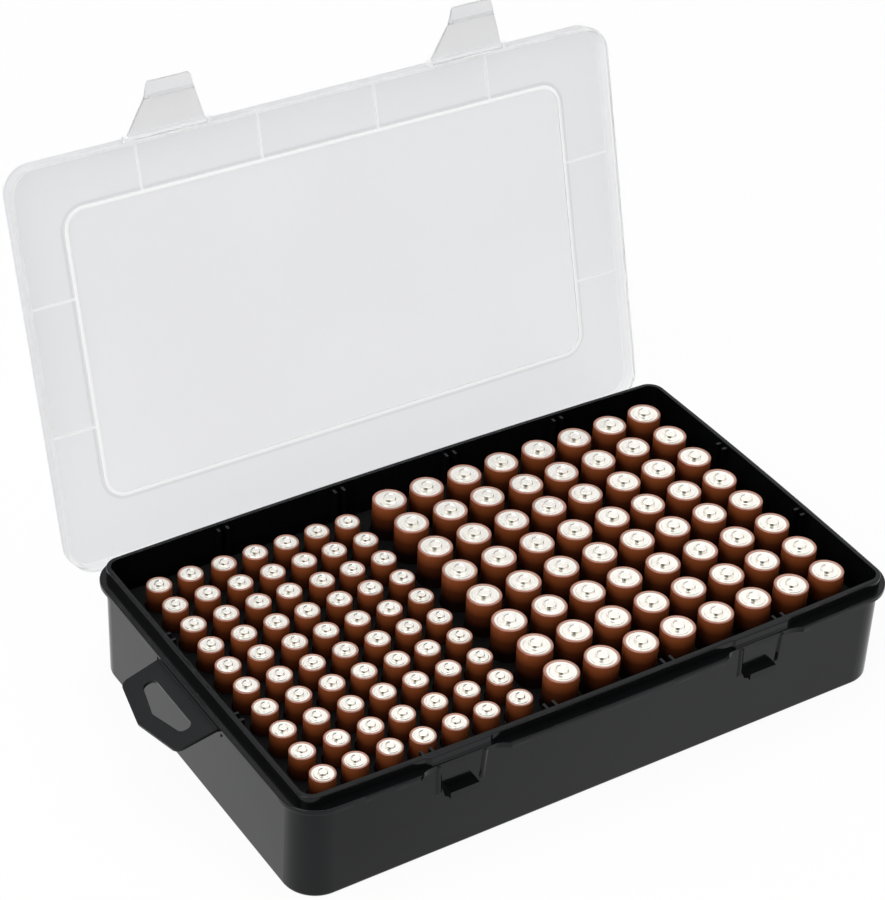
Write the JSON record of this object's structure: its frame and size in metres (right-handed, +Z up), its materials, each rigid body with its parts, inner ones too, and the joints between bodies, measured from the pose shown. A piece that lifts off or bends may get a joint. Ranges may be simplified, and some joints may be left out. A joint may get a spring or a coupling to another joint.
{
  "type": "battery storage case",
  "caption": "Shallow black plastic case with a clear hinged lid, two snap latches, a side loop and a socketed block that holds large and small cells upright.",
  "frame": {"origin": "middle of the case's flat bottom", "axes": "+Z up, +X to the right along the front wall that carries the catches, +Y towards the lid hinge"},
  "size_m": [0.3044, 0.2413, 0.2235],
  "materials": {
    "case_plastic": "satin moulded black polypropylene",
    "holder_plastic": "dull black",
    "loop_plastic": "satin moulded black polypropylene",
    "clear_plastic": "milky clear moulded polypropylene",
    "latch_plastic": "milky clear moulded polypropylene",
    "pin_steel": "drawn wire",
    "cell_metal": "nickel-plated, bright",
    "cell_jacket": "copper-coloured printed film"
  },
  "bodies": {
    "case": {"case_base": "case_plastic", "cell_holder": "holder_plastic", "hinge_pin_left": "pin_steel", "hinge_pin_right": "pin_steel", "large_cans_column_1": "cell_metal", "large_jackets_column_1": "cell_jacket", "large_cans_column_2": "cell_metal", "large_jackets_column_2": "cell_jacket", "large_cans_column_3": "cell_metal", "large_jackets_column_3": "cell_jacket", "large_cans_column_4": "cell_metal", "large_jackets_column_4": "cell_jacket", "large_cans_column_5": "cell_metal", "large_jackets_column_5": "cell_jacket", "large_cans_column_6": "cell_metal", "large_jackets_column_6": "cell_jacket", "large_cans_column_7": "cell_metal", "large_jackets_column_7": "cell_jacket", "large_cans_column_8": "cell_metal", "large_jackets_column_8": "cell_jacket", "small_cans_column_1": "cell_metal", "small_jackets_column_1": "cell_jacket", "small_cans_column_2": "cell_metal", "small_jackets_column_2": "cell_jacket", "small_cans_column_3": "cell_metal", "small_jackets_column_3": "cell_jacket", "small_cans_column_4": "cell_metal", "small_jackets_column_4": "cell_jacket", "small_cans_column_5": "cell_metal", "small_jackets_column_5": "cell_jacket", "small_cans_column_6": "cell_metal", "small_jackets_column_6": "cell_jacket", "small_cans_column_7": "cell_metal", "small_jackets_column_7": "cell_jacket"},
    "lid": {"lid": "clear_plastic"},
    "latch_left": {"latch_left": "latch_plastic"},
    "latch_right": {"latch_right": "latch_plastic"},
    "side_loop": {"side_loop": "loop_plastic"}
  },
  "joints": [
    {"name": "lid_hinge", "type": "hinge", "parent": "case", "child": "lid", "pos_m": [0, 0.0869, 0.0344], "axis": [1, 0, 0], "range_deg": [0, 105.5]},
    {"name": "latch_left_hinge", "type": "hinge", "parent": "lid", "child": "latch_left", "pos_m": [-0.0705, 0.14636, 0.1994], "axis": [1, 0, 0], "range_deg": [-25, 62]},
    {"name": "latch_right_hinge", "type": "hinge", "parent": "lid", "child": "latch_right", "pos_m": [0.0705, 0.14636, 0.1994], "axis": [1, 0, 0], "range_deg": [-25, 62]},
    {"name": "side_loop_hinge", "type": "hinge", "parent": "case", "child": "side_loop", "pos_m": [-0.1401, 0, 0.043], "axis": [0, 1, 0], "range_deg": [-73, 15]}
  ]
}
